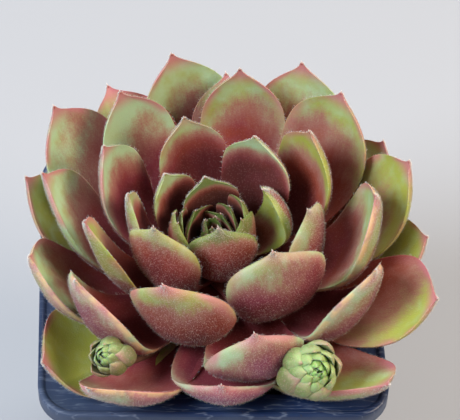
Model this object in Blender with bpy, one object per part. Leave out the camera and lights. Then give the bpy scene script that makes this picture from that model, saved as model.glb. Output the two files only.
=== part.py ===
"""Potted houseleek: a square plastic nursery pot, its soil, one rosette of spoon-shaped leaves and two offsets.

Blender 4.5, metres, +Z up. The origin is the middle of the pot's flat underside.
"""
import bpy
import bmesh
import numpy as np

MM = 0.001

# Driving dimensions of the pot and its filling, in millimetres
RIM_SIDE = 90.0
RIM_CORNER = 10.0
RIM_SKEW = 0.05
SHELF_WIDTH = 7.0
SHELF_CORNER = 12.0
SHELF_DROP = 0.6
SKIRT_DEPTH = 5.0
EDGE_BREAK = 0.4
POT_HEIGHT = 80.0
BASE_SIDE = 66.0
BASE_CORNER = 6.5
WALL = 1.1
DRAIN_RADIUS = 4.0
DRAIN_PLACE = 19.0
DRAIN_SIDES = 16
GAP = 0.3
SOIL_DEPTH = 8.0
SOIL_BUMP = 0.5

# Driving dimensions of the plant, in millimetres; its heights are measured from the pot's rim
STEM_RADIUS = 6.5
STEM_FOOT = -23.0
STEM_BEND = -2.0
STEM_TOP = 8.0
FOOT_X = 6.25
HEART_X = 1.25
ROOT_REACH = 2.5
INNER_ROOT, OUTER_ROOT = 8.0, -1.0
INNER_REACH, OUTER_REACH = 3.0, 53.0
GOLDEN_ANGLE = 137.5
SMALL_WIDTH = 12.0

# Leaf form: shares of the length against shares of the full width and of the full thickness
OUTLINE = (
    (0, .42), (.2, .52), (.45, .82), (.66, 1.0), (.76, .97), (.84, .80), (.90, .49), (.945, .22), (.975, .09), (1, .02)
)
THICKNESS = ((0, .8), (.3, 1.0), (.6, .95), (.85, .6), (.95, .34), (1, .06))
FLESH = 0.19
CUP = 0.24
ELBOW = 0.92

# Each leaf: turn from +X, reach and rise of its tip, width, slope at its tip, roll, sideways sway and bow
HEART_LEAVES = (
    (45, 3.3, 23, 11, 94, 0, 0, 0),
    (150, 5, 24, 12, 92, 0, 0, 0),
    (28, 5, 26, 9, 94, 0, 0, 0),
    (18, 7.5, 28, 13, 92, 0, 0, 0.5),
    (177, 8, 26, 8, 94, 0, 0, 0),
    (333, 8, 28, 13, 95, 0, 0, 0.5),
    (204, 10, 27, 11, 94, 0, 0, 0),
    (184, 10, 27, 8, 94, 0, 0, 0),
)
INNER_LEAVES = (
    (278, 9, 31, 18, 101, 0, 0, 1.1),
    (105, 9, 30, 15, 90, 2, 0, 1.3),
    (16, 13, 30, 15, 110, 8, 1, 2),
    (146, 16, 31, 15, 88, -10, 0, 0.9),
    (57, 19, 37, 20, 84, 6, 1, 1.8),
    (220, 20, 35, 20, 96, 33, -1, 1.8),
    (183, 23, 35, 14, 85, 5, 0, 0.4),
    (346, 23, 34, 20, 98, -14, 0, 0),
    (306, 25, 37, 27, 95, -20, -2, 1),
    (112, 25, 37, 19, 83, 2, 0, 0.7),
    (32, 28, 39, 22, 84, 3, 2, 1.7),
)
MIDDLE_LEAVES = (
    (246, 33.5, 35, 26.5, 85, 18, -1, 2.9),
    (158, 33, 38, 20, 81, -2, 0, 0.7),
    (200, 37, 38, 17, 75, 5, 0, 0.8),
    (282, 39, 26, 26, 95, 5, -1, 0.6),
    (355, 38, 37, 25, 77, 1, 0, 1.8),
    (85, 41, 37, 23, 83, 7, 0, 1.2),
    (131, 43, 37, 23, 79, -3, 0, 1.1),
    (323, 44, 34, 23, 81, -4, 2, -1.6),
    (47, 44, 37, 27, 73, 1, 0, 1.2),
    (221, 46, 33, 25, 81, -2, -4, 1.4),
    (14, 48, 33, 26, 68, 4, 0, 1),
    (173, 48, 35, 22, 72, 4, 0, 1.7),
    (66, 50, 34, 27, 72, 10, 1, 2.9),
    (107, 50.5, 35.5, 27, 82, 12, 1, 2.3),
    (197, 53, 29, 25, 65, -1, 1, -1.2),
    (148, 55, 35, 26, 64, -5, 0, -0.9),
)
OUTER_LEAVES = (
    (268, 45.6, 14.5, 27, 79, 0, 0, 0.5),
    (91, 48, 28, 22, 60, 0, 0, 1.3),
    (33, 49, 24, 23, 46, 2, 0, 4.4),
    (357, 51, 21, 21, 42, 10, -1, 3),
    (286, 54, 14, 26, 48, 6, 25, 1),
    (126, 55.5, 27, 24, 48, -6, 1, 0),
    (167, 55, 26, 23, 62, -2, 0, -0.3),
    (333, 57.5, 23.5, 27, 40, 20, 0.5, 2.2),
    (241, 60, 18.7, 22.5, 60, 18, -6.7, 2.4),
    (221, 59.6, 11.6, 27, 38, -27, -3.3, -2.5),
    (64, 50, 19, 22, 45, 0, 0, 1.3),
    (147, 52, 17, 22, 45, 0, 0, 0.5),
)
BUD_LEAVES = 5
BUD_RISE, BUD_REACH, BUD_WIDTH = 21.0, 1.6, 6.0

# Each offset: foot of its head, lean from upright and its direction, length of its longest leaf, leaf count
OFFSETS = {
    "offset_left": dict(foot=(-22.7, -36.8, 13.2), lean=35, toward=235, leaf=9.0, count=16),
    "offset_right": dict(foot=(25.8, -38.8, 11.7), lean=40, toward=285, leaf=12.0, count=24),
}
OFFSET_STEM = 1.5
RUNNER_RADIUS = 1.1
RUNNER_START = -4.0
RUNNER_BEND = 12.0


def clear_scene():
    for item in list(bpy.data.objects):
        bpy.data.objects.remove(item, do_unlink=True)


def finish(name, color, roughness):
    """A plain material in the part's colour."""
    material = bpy.data.materials.new(name)
    material.use_nodes = True
    shader = material.node_tree.nodes["Principled BSDF"]
    shader.inputs["Base Color"].default_value = (*color, 1.0)
    shader.inputs["Roughness"].default_value = roughness
    shader.inputs["Metallic"].default_value = 0.0
    return material


def add_object(name, points, faces, material=None):
    """A mesh object from points in millimetres and faces given by point numbers."""
    mesh = bpy.data.meshes.new(name)
    mesh.from_pydata((np.asarray(points) * MM).tolist(), [], faces)
    mesh.validate()
    mesh.shade_smooth()
    mesh.set_sharp_from_angle(angle=np.radians(40))
    item = bpy.data.objects.new(name, mesh)
    bpy.context.scene.collection.objects.link(item)
    if material:
        mesh.materials.append(material)
    return item


def ring_faces(rows, ring):
    """Quads between successive rings of points, and one cap at each end."""
    faces = []
    for i in range(rows - 1):
        for j in range(ring):
            k = (j + 1) % ring
            faces.append((i * ring + j, i * ring + k, (i + 1) * ring + k, (i + 1) * ring + j))
    faces.append(tuple(reversed(range(ring))))
    faces.append(tuple((rows - 1) * ring + j for j in range(ring)))
    return faces


def rounded_square(half, corner, steps=6):
    """Points round a square with arcs at its corners, counter-clockwise."""
    points = []
    for quarter in range(4):
        middle = np.radians(45 + 90 * quarter)
        x = np.sign(np.cos(middle)) * (half - corner)
        y = np.sign(np.sin(middle)) * (half - corner)
        for turn in np.radians(np.linspace(0, 90, steps + 1) + 90 * quarter):
            points.append((x + corner * np.cos(turn), y + corner * np.sin(turn)))
    return np.array(points)


def loft(levels):
    """Stacks outlines, each an (outline, height) pair, into one array of rings."""
    return np.array([np.column_stack([outline, np.full(len(outline), height)]) for outline, height in levels])


def wall_at(height, inset):
    """Outline of the tapered wall's outside at a height, moved in by an inset."""
    share = height / POT_HEIGHT
    half = BASE_SIDE / 2 + (RIM_SIDE / 2 - SHELF_WIDTH + WALL - 0.5 - BASE_SIDE / 2) * share - inset
    corner = BASE_CORNER + (SHELF_CORNER + WALL - 0.5 - BASE_CORNER) * share - inset
    return rounded_square(half, corner)


def pressed(rings):
    """The soft pot is a little out of square at its rim: x goes back by RIM_SKEW * y * z / POT_HEIGHT."""
    rings = rings.copy()
    rings[..., 0] -= RIM_SKEW * rings[..., 1] * rings[..., 2] / POT_HEIGHT
    return rings


def make_pot():
    """Tapered square shell with a flat shelf and a turned-down skirt at its rim, and four drain holes."""
    def rim(inset):
        return rounded_square(RIM_SIDE / 2 - inset, RIM_CORNER - inset)

    def shelf(inset):
        return rounded_square(RIM_SIDE / 2 - SHELF_WIDTH - inset, SHELF_CORNER - inset)

    top = POT_HEIGHT - SHELF_DROP
    under = top - WALL
    rings = pressed(loft((
        (wall_at(0, EDGE_BREAK), 0),
        (wall_at(EDGE_BREAK, 0), EDGE_BREAK),
        (wall_at(under, 0), under),
        (rim(WALL), under),
        (rim(WALL), POT_HEIGHT - SKIRT_DEPTH),
        (rim(0), POT_HEIGHT - SKIRT_DEPTH),
        (rim(0), top),
        (rim(0.5 * EDGE_BREAK), top + EDGE_BREAK),
        (rim(0.9), POT_HEIGHT),
        (rim(1.6), top + EDGE_BREAK),
        (rim(2.0), top),
        (shelf(0), top),
        (shelf(0.5), top - 0.5),
        (wall_at(under - 1, WALL), under - 1),
        (wall_at(WALL + 0.5, WALL), WALL + 0.5),
        (wall_at(WALL, WALL + 0.5), WALL),
    )))
    material = finish("moulded polypropylene, slate blue", (0.035, 0.048, 0.068), 0.38)
    pot = add_object("pot", rings.reshape(-1, 3), ring_faces(*rings.shape[:2]), material)
    turns = np.radians(np.arange(DRAIN_SIDES) * 360 / DRAIN_SIDES)
    circle = np.column_stack([np.cos(turns), np.sin(turns)]) * DRAIN_RADIUS
    for x in (-DRAIN_PLACE, DRAIN_PLACE):
        for y in (-DRAIN_PLACE, DRAIN_PLACE):
            hole = loft(((circle + (x, y), -1.0), (circle + (x, y), WALL + 1.0)))
            cutter = add_object("drain_cutter", hole.reshape(-1, 3), ring_faces(*hole.shape[:2]))
            cutter.hide_render = True
            cutter.display_type = "WIRE"
            cut = pot.modifiers.new("drain hole", "BOOLEAN")
            cut.operation = "DIFFERENCE"
            cut.object = cutter


def make_soil():
    """Soil that fills the pot to below its rim, bumpy on top, with a plain hole for the stem."""
    level = POT_HEIGHT - SOIL_DEPTH
    wall = wall_at(level, WALL + GAP)
    steps = len(wall)
    turns = np.radians(45 + (np.arange(steps) - (steps // 4 - 1) / 2) * 360 / steps)
    hole = np.column_stack([np.cos(turns), np.sin(turns)]) * (STEM_RADIUS + 2 * GAP) + (FOOT_X, 0)
    levels = [(hole, POT_HEIGHT + STEM_FOOT - GAP), (hole, level)]
    for share in (0.15, 0.35, 0.55, 0.75, 0.92):
        levels.append((hole + (wall - hole) * share, level))
    levels.append((wall, level))
    levels.append((wall_at(WALL + 0.5 + GAP, WALL + GAP), WALL + 0.5 + GAP))
    levels.append((wall_at(WALL + GAP, WALL + 0.5 + GAP), WALL + GAP))
    rings = loft(levels)
    rings[2:] = pressed(rings[2:])
    crumb = np.random.default_rng(7).uniform(-SOIL_BUMP, SOIL_BUMP, rings.shape[:2])
    rings[2:7, :, 2] += crumb[2:7]
    faces = [tuple(reversed(face)) for face in ring_faces(*rings.shape[:2])]
    material = finish("peat and grit potting soil", (0.030, 0.020, 0.014), 0.95)
    add_object("soil", rings.reshape(-1, 3), faces, material)


def eased(shares, u):
    """Smooth curve through the given pairs, read at every u."""
    x, y = np.array(shares, dtype=float).T
    slope = np.gradient(y, x)
    k = np.clip(np.searchsorted(x, u) - 1, 0, len(x) - 2)
    step = x[k + 1] - x[k]
    t = (u - x[k]) / step
    start = (2 * t**3 - 3 * t**2 + 1) * y[k] + (t**3 - 2 * t**2 + t) * step * slope[k]
    return start + (3 * t**2 - 2 * t**3) * y[k + 1] + (t**3 - t**2) * step * slope[k + 1]


def midrib(root, root_slope, tip, tip_slope, u):
    """Points and directions of a leaf's midrib in its upright plane, evenly spaced along its length.

    The midrib leaves the stem at root_slope, turns up at an elbow where the two end directions would
    meet, and reaches the tip at tip_slope.
    """
    root, tip = np.array(root, dtype=float), np.array(tip, dtype=float)
    out = np.array((np.cos(np.radians(root_slope)), np.sin(np.radians(root_slope))))
    up = np.array((np.cos(np.radians(tip_slope)), np.sin(np.radians(tip_slope))))
    span = tip - root
    elbow = root + out * (span[0] * up[1] - span[1] * up[0]) / (out[0] * up[1] - out[1] * up[0])
    near, far = root + ELBOW * (elbow - root), tip + ELBOW * (elbow - tip)

    def path(t):
        return (1 - t) ** 3 * root + 3 * (1 - t) ** 2 * t * near + 3 * (1 - t) * t**2 * far + t**3 * tip

    fine = np.linspace(0, 1, 81)[:, None]
    run = np.concatenate([[0], np.cumsum(np.hypot(*np.diff(path(fine), axis=0).T))])
    t = np.interp(u, run / run[-1], fine[:, 0])[:, None]
    along = 3 * (1 - t) ** 2 * (near - root) + 6 * (1 - t) * t * (far - near) + 3 * t**2 * (tip - far)
    return path(t), along / np.linalg.norm(along, axis=1)[:, None]


def leaf_rings(turn, reach, rise, width, tip_slope, roll, sway, bow, root, root_slope, rows=9, across=4):
    """Rings of points round one leaf about its own stem axis, in millimetres.

    Across its width the upper face is a shallow trough and the underside bulges by the flesh; both
    meet at the margins. Roll turns the leaf about its midrib, sway carries its tip sideways, and bow
    moves its blade towards +X while root and tip stay.
    """
    u = np.linspace(0, 1, rows) ** 0.8
    spine, along = midrib(root, root_slope, (reach, rise), tip_slope, u)
    normal = np.column_stack([-along[:, 1], along[:, 0]])
    fan = np.linspace(0, np.pi, across + 1)
    side = np.concatenate([-np.cos(fan), np.cos(fan)[1:-1]])
    under = np.concatenate([np.zeros(across + 1), np.ones(across - 1)])
    half = (width / 2 * eased(OUTLINE, u))[:, None]
    flesh = (FLESH * width * eased(THICKNESS, u))[:, None]
    trough = CUP * (1 - 0.4 * u[:, None] ** 4) * half * side**2
    lift = trough - under * flesh * np.sqrt(1 - side**2)
    twist = np.radians(roll) * u[:, None]
    sideways = half * side * np.cos(twist) - lift * np.sin(twist) + sway * u[:, None] ** 2
    upward = half * side * np.sin(twist) + lift * np.cos(twist)
    radius = spine[:, :1] + normal[:, :1] * upward
    height = spine[:, 1:] + normal[:, 1:] * upward
    angle = np.radians(turn)
    return np.stack([
        radius * np.cos(angle) - sideways * np.sin(angle) + bow * 6.75 * (u**2 * (1 - u))[:, None],
        radius * np.sin(angle) + sideways * np.cos(angle),
        height,
    ], axis=-1)


def closed_leaf(name, rings):
    """A leaf object: quads round its rings, capped at root and tip, split into triangles."""
    faces = [tuple(reversed(face)) for face in ring_faces(*rings.shape[:2])]
    item = add_object(name, rings.reshape(-1, 3), faces)
    shape = bmesh.new()
    shape.from_mesh(item.data)
    bmesh.ops.triangulate(shape, faces=shape.faces[:])
    bmesh.ops.recalc_face_normals(shape, faces=shape.faces[:])
    shape.to_mesh(item.data)
    shape.free()
    return item


def tube(name, spine, radii, beside, sides=14):
    """A round stem along points in the upright plane square to beside, with a radius at each point."""
    spine = np.array(spine, dtype=float)
    along = np.gradient(spine, axis=0)
    along /= np.linalg.norm(along, axis=1)[:, None]
    across = np.tile(np.array(beside, dtype=float) / np.linalg.norm(beside), (len(spine), 1))
    third = np.cross(along, across)
    turns = np.radians(np.arange(sides) * 360 / sides)[None, :, None]
    rings = across[:, None] * np.cos(turns) + third[:, None] * np.sin(turns)
    rings = spine[:, None] + rings * np.broadcast_to(radii, len(spine))[:, None, None]
    return add_object(name, rings.reshape(-1, 3), ring_faces(*rings.shape[:2]))


def keep_outer_shell(mesh):
    """Fills hollows sealed between fused leaves and drops loose scraps: only the largest shell stays."""
    shape = bmesh.new()
    shape.from_mesh(mesh)
    bmesh.ops.triangulate(shape, faces=shape.faces[:])
    left = set(shape.faces)
    shells = []
    while left:
        shell, reached = set(), [left.pop()]
        while reached:
            face = reached.pop()
            shell.add(face)
            near = {other for edge in face.edges if len(edge.link_faces) == 2 for other in edge.link_faces}
            near &= left
            left -= near
            reached.extend(near)
        shells.append(shell)
    outer = max(shells, key=len)
    bmesh.ops.delete(shape, geom=[face for face in shape.faces if face not in outer], context="FACES")
    shape.to_mesh(mesh)
    shape.free()


def fuse(base, others, name, material):
    """Joins a plant's repeats to their stem as one solid and removes the loose ones."""
    group = bpy.data.collections.new(name + " repeats")
    bpy.context.scene.collection.children.link(group)
    for item in others:
        group.objects.link(item)
    join = base.modifiers.new("grown together", "BOOLEAN")
    join.operation = "UNION"
    join.operand_type = "COLLECTION"
    join.collection = group
    join.solver = "MANIFOLD"
    graph = bpy.context.evaluated_depsgraph_get()
    mesh = bpy.data.meshes.new_from_object(base.evaluated_get(graph))
    base.modifiers.clear()
    keep_outer_shell(mesh)
    base.data = mesh
    base.name = name
    mesh.name = name
    mesh.materials.clear()
    mesh.materials.append(material)
    for item in others:
        bpy.data.objects.remove(item, do_unlink=True)
    bpy.data.collections.remove(group)
    return base


def age_of(reach):
    """0 for the youngest leaf at the heart, 1 for the outermost."""
    return min(max((reach - INNER_REACH) / (OUTER_REACH - INNER_REACH), 0), 1)


def rosette_leaf(name, row):
    """One leaf of the mother rosette, rooted lower and flatter the older it is."""
    age = age_of(row[1])
    root = (ROOT_REACH, INNER_ROOT + (OUTER_ROOT - INNER_ROOT) * age)
    small = row[3] < SMALL_WIDTH
    rows, across = (6, 2) if small else (9, 4)
    rings = leaf_rings(*row, root=root, root_slope=45 * (1 - age) ** 2 + 2, rows=rows, across=across)
    rings += (HEART_X + (FOOT_X - HEART_X) * age, 0, POT_HEIGHT)
    return closed_leaf(name, rings)


def head_axis(lean, toward):
    """Direction of a head that leans from upright, as a unit vector."""
    tilt, way = np.radians(lean), np.radians(toward)
    return np.array((np.sin(tilt) * np.cos(way), np.sin(tilt) * np.sin(way), np.cos(tilt)))


def make_runner(name, sizes):
    """The thin runner that grew from the mother's stem to just under one offset, in an upright plane."""
    axis = head_axis(sizes["lean"], sizes["toward"])
    foot = np.array(sizes["foot"]) + (0, 0, POT_HEIGHT)
    start = np.array((FOOT_X, 0, POT_HEIGHT + RUNNER_START))
    end = foot - axis * (OFFSET_STEM + GAP)
    level = (end - start) * (1, 1, 0)
    beside = (-level[1], level[0], 0)
    axis -= np.dot(axis, beside) * np.array(beside) / np.dot(beside, beside)
    near, far = start + level * 0.6, end - axis * RUNNER_BEND
    t = np.linspace(0, 1, 11)[:, None]
    spine = (1 - t) ** 3 * start + 3 * (1 - t) ** 2 * t * near + 3 * (1 - t) * t**2 * far + t**3 * end
    return tube(name, spine, RUNNER_RADIUS, beside, sides=8)


def make_rosette(material):
    """The mother plant: short leaning stem and every leaf, grown as one solid."""
    spine = (
        (FOOT_X, 0, POT_HEIGHT + STEM_FOOT),
        (FOOT_X, 0, POT_HEIGHT + STEM_BEND),
        ((FOOT_X + HEART_X) / 2, 0, POT_HEIGHT + STEM_TOP / 2),
        (HEART_X, 0, POT_HEIGHT + STEM_TOP),
        (HEART_X, 0, POT_HEIGHT + STEM_TOP + 4),
        (HEART_X, 0, POT_HEIGHT + STEM_TOP + 6.5),
    )
    stem = tube("stem", spine, (STEM_RADIUS, STEM_RADIUS, STEM_RADIUS, 5.4, 3.9, 1.3), beside=(0, 1, 0))
    rows = list(OUTER_LEAVES + MIDDLE_LEAVES + INNER_LEAVES + HEART_LEAVES)
    for number in range(BUD_LEAVES):
        rows.append((number * GOLDEN_ANGLE, BUD_REACH, BUD_RISE + number * 0.7, BUD_WIDTH, 92, 0, 0, 0))
    leaves = [rosette_leaf(f"leaf_{number:02d}", row) for number, row in enumerate(rows)]
    runners = [make_runner(f"runner_{name}", sizes) for name, sizes in OFFSETS.items()]
    fuse(stem, leaves + runners, "rosette", material)


def make_offset(name, foot, lean, toward, leaf, count, material):
    """A young rosette: a short stem closed in by small leaves, leaning out from under the mother."""
    spine = ((0, 0, -OFFSET_STEM), (0, 0, 0.35 * leaf))
    stem = tube("offset_stem", spine, (0.16 * leaf, 0.12 * leaf), beside=(0, 1, 0), sides=8)
    leaves = []
    for number in range(count):
        age = number / (count - 1)
        reach = leaf * (0.06 + 0.62 * age)
        rise = leaf * (1.05 - 0.35 * age**2)
        width = leaf * (0.30 + 0.20 * age)
        row = (number * GOLDEN_ANGLE, reach, rise, width, 100 - 22 * age, 0, 0, 0)
        root = (0.03 * leaf, leaf * 0.3 * (1 - age))
        rings = leaf_rings(*row, root=root, root_slope=35 * (1 - age), rows=7, across=2)
        leaves.append(closed_leaf(f"{name}_leaf_{number:02d}", rings))
    head = fuse(stem, leaves, name, material)
    points = np.empty(len(head.data.vertices) * 3)
    head.data.vertices.foreach_get("co", points)
    points = points.reshape(-1, 3)
    up = head_axis(lean, toward)
    beside = head_axis(90, toward + 90)
    turned = points @ np.array((np.cross(beside, up), beside, up))
    turned += np.array((foot[0], foot[1], foot[2] + POT_HEIGHT)) * MM
    head.data.vertices.foreach_set("co", turned.ravel())
    head.data.update()


def build():
    clear_scene()
    make_pot()
    make_soil()
    flesh = finish("succulent leaf, maroon and green", (0.21, 0.13, 0.09), 0.45)
    young = finish("succulent leaf, young green", (0.27, 0.40, 0.12), 0.45)
    make_rosette(flesh)
    for name, sizes in OFFSETS.items():
        make_offset(name, material=young, **sizes)


build()
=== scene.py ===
"""Potted houseleek: the looks of the pot, the soil, the mother rosette and its two offsets.

Blender 4.5. Sizes are in millimetres unless a name says otherwise. Heights of the plant are measured from
the pot's rim, and the finished points are turned into the frame's metres.
"""

import bpy
import numpy as np
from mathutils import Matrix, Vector


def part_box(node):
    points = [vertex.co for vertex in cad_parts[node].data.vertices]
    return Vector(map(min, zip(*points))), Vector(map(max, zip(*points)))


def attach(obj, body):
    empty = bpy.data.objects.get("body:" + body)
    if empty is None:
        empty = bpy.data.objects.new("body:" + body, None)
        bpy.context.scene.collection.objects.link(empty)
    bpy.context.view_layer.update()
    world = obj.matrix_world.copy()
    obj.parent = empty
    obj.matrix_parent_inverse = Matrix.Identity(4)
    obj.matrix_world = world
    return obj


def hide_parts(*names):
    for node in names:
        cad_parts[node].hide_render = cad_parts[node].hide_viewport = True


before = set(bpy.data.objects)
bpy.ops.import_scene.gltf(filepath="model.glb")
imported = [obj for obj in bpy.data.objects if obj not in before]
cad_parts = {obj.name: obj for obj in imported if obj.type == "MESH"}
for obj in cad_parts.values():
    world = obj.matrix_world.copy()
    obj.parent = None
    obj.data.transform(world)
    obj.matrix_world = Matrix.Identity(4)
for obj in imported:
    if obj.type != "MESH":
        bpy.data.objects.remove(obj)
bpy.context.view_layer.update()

# Camera at the photograph's viewing angle: it looks down at 50 degrees with a long lens. Its target, a
# little to the right of the pot's middle and behind it, is fitted to the rim's edges in the photograph.
MM = 0.001
RIM_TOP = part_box("pot")[1].z / MM
CAMERA_ELEVATION = np.radians(50)
CAMERA_TARGET = Vector((6.04, 22.97, RIM_TOP)) * MM
CAMERA_DISTANCE = 528.3 * MM


def add_object(name, data):
    """A new object with this data, in the scene."""
    added = bpy.data.objects.new(name, data)
    bpy.context.scene.collection.objects.link(added)
    return added


camera = add_object("camera", bpy.data.cameras.new("camera"))
camera.data.lens = 150
camera.data.sensor_width = 36
camera.data.clip_start = 0.01
back = Vector((0, -np.cos(CAMERA_ELEVATION), np.sin(CAMERA_ELEVATION)))
camera.location = CAMERA_TARGET + back * CAMERA_DISTANCE
camera.rotation_euler = (np.pi / 2 - CAMERA_ELEVATION, 0, 0)
bpy.context.scene.camera = camera

# Soft studio light: a cool key above the front left, a weaker and warmer fill at the right and a top light
# behind. Each row: name, place in metres, watts and colour.
LIGHT_SIZE = 0.5
LIGHT_AIM = Vector((0, 0, 0.09))
LIGHTS = (
    ("key", (-0.65, -0.30, 0.80), 12.0, "e9f2ff"),
    ("fill", (0.72, -0.2, 0.65), 7.0, "ffead4"),
    ("top", (0.15, 0.55, 0.85), 5.5, "ffffff"),
)


def srgb(code):
    """Linear red, green, blue and alpha of a hex colour."""
    value = np.array([int(code[i:i + 2], 16) for i in (0, 2, 4)]) / 255
    value = np.where(value <= 0.04045, value / 12.92, ((value + 0.055) / 1.055) ** 2.4)
    return (*value.tolist(), 1.0)


def feed(node, inputs):
    """Sets a node's sockets, each to a value, to a hex colour or to the output that feeds it."""
    for key, value in inputs.items():
        if isinstance(value, bpy.types.NodeSocket):
            node.id_data.links.new(value, node.inputs[key])
        else:
            node.inputs[key].default_value = srgb(value) if isinstance(value, str) else value


for name, place, watts, tone in LIGHTS:
    lamp = bpy.data.lights.new(name, "AREA")
    lamp.shape = "DISK"
    lamp.size = LIGHT_SIZE
    lamp.energy = watts
    lamp.color = srgb(tone)[:3]
    light = add_object(name, lamp)
    light.location = place
    light.rotation_euler = (LIGHT_AIM - light.location).to_track_quat("-Z", "Y").to_euler()
world = bpy.data.worlds.new("pale studio")
world.use_nodes = True
feed(world.node_tree.nodes["Background"], {"Color": "e6e7ea", "Strength": 0.28})
bpy.context.scene.world = world
bpy.context.scene.view_settings.view_transform = "Standard"

# Floor: a plain pale surface of matte paper under the pot, flat and wide enough to fill every view. It
# belongs to the stage and not to the object.
FLOOR_HALF = 3000.0 * MM


def new_material(name):
    """A node material, its Principled shader and the function that adds a node to it.

    That function takes the kind of node, its inputs by key or in order, the output to give back, and the
    node's settings.
    """
    material = bpy.data.materials.new(name)
    material.use_nodes = True
    nodes = material.node_tree.nodes

    def add(kind, inputs=(), output=0, **settings):
        node = nodes.new("ShaderNode" + kind)
        for key, value in settings.items():
            setattr(node, key, value)
        feed(node, inputs if isinstance(inputs, dict) else dict(enumerate(inputs)))
        return node.outputs[output]

    return material, nodes["Principled BSDF"], add


floor_mesh = bpy.data.meshes.new("floor")
floor_signs = ((-1, -1), (1, -1), (1, 1), (-1, 1))
floor_mesh.from_pydata([(x * FLOOR_HALF, y * FLOOR_HALF, 0) for x, y in floor_signs], [], [(0, 1, 2, 3)])
floor = add_object("floor", floor_mesh)
floor_material, floor_shader, _ = new_material("pale matte paper")
feed(floor_shader, {"Base Color": "aeb0b3", "Roughness": 0.9})
floor_mesh.materials.append(floor_material)

# Leaves of the mother rosette: spoon-shaped, fleshy and velvety, green at the rim and maroon below. They
# grow in four groups from a stem that leans, so the oldest are rooted at FOOT_X and the youngest at HEART_X.
FOOT_X, HEART_X = 6.25, 1.25
ROOT_REACH = 2.5
INNER_ROOT, OUTER_ROOT = 8.0, -1.0
INNER_REACH, OUTER_REACH = 3.0, 53.0
GOLDEN_ANGLE = 137.5

# Each row: turn from +X, reach and rise of the tip, width, slope at the tip, roll, sway and bow, then blush
# of the upper face and of the underside from green to maroon. Of the last value, the part after the point
# is gold, from 0 blue-green to 1 yellow-green, and a whole 1 adds a pale line below the margin, a painted
# highlight where light catches a ridge. Most rows come from a fit to leaves traced in the photograph,
# rounded and in part changed since. The colour values were chosen one by one.
HEART_LEAVES = (
    (45, 3.3, 23, 12.5, 94, 0, 0, 0, .85, .35, .7),
    (150, 5, 24, 14, 92, 0, 0, 0, .95, .55, .6),
    (28, 5, 26, 11.5, 94, 0, 0, 0, .8, .30, .7),
    (18, 7.5, 28, 15, 92, 0, 0, .5, .95, .45, .8),
    (177, 8, 26, 10.5, 94, 0, 0, 0, .85, .40, .6),
    (333, 8, 28, 15, 95, 0, 0, .5, .8, .30, .8),
    (204, 10, 27, 13, 94, 0, 0, 0, .85, .40, .8),
    (184, 10, 27, 10.5, 94, 0, 0, 0, .85, .40, .6),
)
INNER_LEAVES = (
    (278, 9, 31, 18, 101, 0, 0, 1.1, .55, .62, .7),
    (105, 9, 30, 15, 90, 2, 0, 1.3, .95, .8, .5),
    (16, 13, 30, 15, 110, 8, 1, 2, -1.5, 1.5, .8),
    (146, 16, 31, 15, 88, -10, 0, .9, .9, .85, .5),
    (57, 19, 37, 20, 84, 6, 1, 1.8, 1, .8, .35),
    (220, 20, 35, 20, 96, 33, -1, 1.8, .55, .65, .65),
    (183, 23, 35, 14, 85, 5, 0, .4, .5, .5, .6),
    (346, 23, 34, 20, 98, -14, 0, 0, -.4, .75, .5),
    (306, 25, 37, 27, 95, -20, -2, 1, .7, .75, .45),
    (112, 25, 37, 19, 83, 2, 0, .7, .9, .85, .4),
    (32, 28, 39, 22, 84, 3, 2, 1.7, .5, .75, .9),
)
MIDDLE_LEAVES = (
    (246, 33.5, 35, 26.5, 85, 18, -1, 2.9, .6, .65, .75),
    (158, 33, 38, 20, 81, -2, 0, .7, .6, .75, .1),
    (200, 37, 38, 17, 75, 5, 0, .8, .15, -.2, .8),
    (282, 39, 26, 26, 95, 5, -1, .6, .6, .8, .3),
    (355, 38, 37, 25, 77, 1, 0, 1.8, 0, .3, 1.5),
    (85, 41, 37, 23, 83, 7, 0, 1.2, .45, .5, .55),
    (131, 43, 37, 23, 79, -3, 0, 1.1, .25, .45, .15),
    (323, 44, 34, 23, 81, -4, 2, -1.6, .7, .65, 1.2),
    (47, 44, 37, 27, 73, 1, 0, 1.2, .4, .45, .7),
    (221, 46, 33, 25, 81, -2, -4, 1.4, .75, .7, 1.3),
    (14, 48, 33, 26, 68, 4, 0, 1, 0, .4, .8),
    (173, 48, 35, 22, 72, 4, 0, 1.7, .2, .5, .3),
    (66, 50, 34, 27, 72, 10, 1, 2.9, .4, .45, .45),
    (107, 50.5, 35.5, 27, 82, 12, 1, 2.3, .35, .3, .4),
    (197, 53, 29, 25, 65, -1, 1, -1.2, .1, .6, 1.4),
    (148, 55, 35, 26, 64, -5, 0, -.9, .2, .5, .3),
)
OUTER_LEAVES = (
    (268, 45.6, 14.5, 27, 79, 0, 0, .5, 1, 1.5, 0),
    (91, 48, 28, 22, 60, 0, 0, 1.3, .3, .6, .5),
    (33, 49, 24, 23, 46, 2, 0, 4.4, 0, .5, .6),
    (357, 51, 21, 21, 42, 10, -1, 3, -.9, .4, .8),
    (286, 54, 14, 26, 48, 6, 25, 1, -.1, .5, .7),
    (126, 55.5, 27, 24, 48, -6, 1, 0, .3, .6, .7),
    (167, 55, 26, 23, 62, -2, 0, -.3, -.4, .3, .7),
    (333, 57.5, 23.5, 27, 40, 20, .5, 2.2, .1, .7, .9),
    (241, 60, 18.7, 22.5, 60, 18, -6.7, 2.4, .3, .75, 1.2),
    (221, 59.6, 11.6, 27, 38, -27, -3.3, -2.5, -.9, .4, .9),
    (64, 55, 20, 22, 42, 0, 0, 1.3, .1, .5, .6),
    (147, 52, 17, 22, 45, 0, 0, .5, .50, .50, .6),
)
BUD_LEAVES = 5
BUD_RISE, BUD_REACH, BUD_WIDTH, BUD_SLOPE = 21.0, 1.6, 6.0, 92
BUD_STEP = 0.7
BUD_TINTS = (0.3, 0.3, 0.5)

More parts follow.
